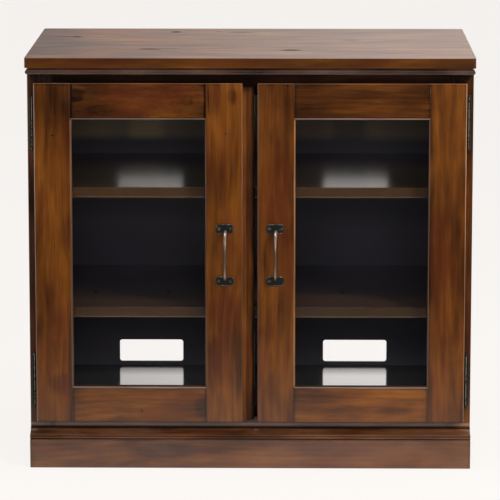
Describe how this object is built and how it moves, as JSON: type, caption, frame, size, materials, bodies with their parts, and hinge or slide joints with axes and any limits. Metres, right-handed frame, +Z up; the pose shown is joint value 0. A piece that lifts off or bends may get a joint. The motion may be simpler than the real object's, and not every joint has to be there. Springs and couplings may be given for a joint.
{
  "type": "media cabinet",
  "caption": "Low wooden media cabinet on a plinth, with overlay glass doors on butt hinges, adjustable shelves and cable cut-outs in its back.",
  "frame": {"origin": "middle of the footprint's bounding box, on the floor", "axes": "+X to the right seen from the front, +Y towards the back, +Z up; the doors face -Y"},
  "size_m": [0.818, 0.529, 0.762],
  "materials": {
    "wood_top": "satin lacquer over stained, distressed wood",
    "wood_case": "satin lacquer over stained, distressed wood",
    "wood_door": "satin lacquer over stained, distressed wood",
    "wood_interior": "dark stain, satin",
    "glass": "clear float glass",
    "antique_iron": "darkened antique finish, rubbed bright on the high spots",
    "steel": "zinc plated",
    "black_plastic": "moulded",
    "felt": "felt"
  },
  "bodies": {
    "case": {"top_panel": "wood_top", "top_moulding_front": "wood_case", "top_moulding_left": "wood_case", "top_moulding_right": "wood_case", "top_frame_rear": "wood_interior", "side_panel_left": "wood_case", "side_panel_right": "wood_case", "face_stile_left": "wood_case", "face_stile_right": "wood_case", "face_rail_top": "wood_case", "face_rail_bottom": "wood_case", "rear_rail": "wood_interior", "deck_panel": "wood_interior", "back_panel": "wood_interior", "back_screws": "steel", "shelf_upper": "wood_interior", "shelf_lower": "wood_interior", "shelf_pins": "steel", "base_moulding": "wood_case", "plinth_front_board": "wood_case", "plinth_left_board": "wood_case", "plinth_right_board": "wood_case", "plinth_rear_board": "wood_interior", "plinth_corner_blocks": "wood_interior", "catch_bodies": "black_plastic", "catch_magnets": "steel", "hinge_leaves_case_left": "antique_iron", "hinge_leaves_case_right": "antique_iron", "hinge_pins_left": "antique_iron", "hinge_pins_right": "antique_iron", "hinge_screws_case": "antique_iron"},
    "door_left": {"door_left_hinge_stile": "wood_door", "door_left_meeting_stile": "wood_door", "door_left_top_rail": "wood_door", "door_left_bottom_rail": "wood_door", "door_left_glass": "glass", "door_left_glass_beads": "wood_door", "door_left_hinge_leaves": "antique_iron", "door_left_screws": "antique_iron", "door_left_strike_plate": "steel", "door_left_bumpers": "felt", "handle_left_plates": "antique_iron", "handle_left_bar": "antique_iron", "handle_left_screws": "antique_iron", "door_left_astragal": "wood_door"},
    "door_right": {"door_right_hinge_stile": "wood_door", "door_right_meeting_stile": "wood_door", "door_right_top_rail": "wood_door", "door_right_bottom_rail": "wood_door", "door_right_glass": "glass", "door_right_glass_beads": "wood_door", "door_right_hinge_leaves": "antique_iron", "door_right_screws": "antique_iron", "door_right_strike_plate": "steel", "door_right_bumpers": "felt", "handle_right_plates": "antique_iron", "handle_right_bar": "antique_iron", "handle_right_screws": "antique_iron"}
  },
  "joints": [
    {"name": "left_door_hinge", "type": "hinge", "parent": "case", "child": "door_left", "pos_m": [-0.398, -0.2166, 0.401], "axis": [0, 0, -1], "range_deg": [0, 130]},
    {"name": "right_door_hinge", "type": "hinge", "parent": "case", "child": "door_right", "pos_m": [0.398, -0.2166, 0.401], "axis": [0, 0, 1], "range_deg": [0, 130]}
  ]
}
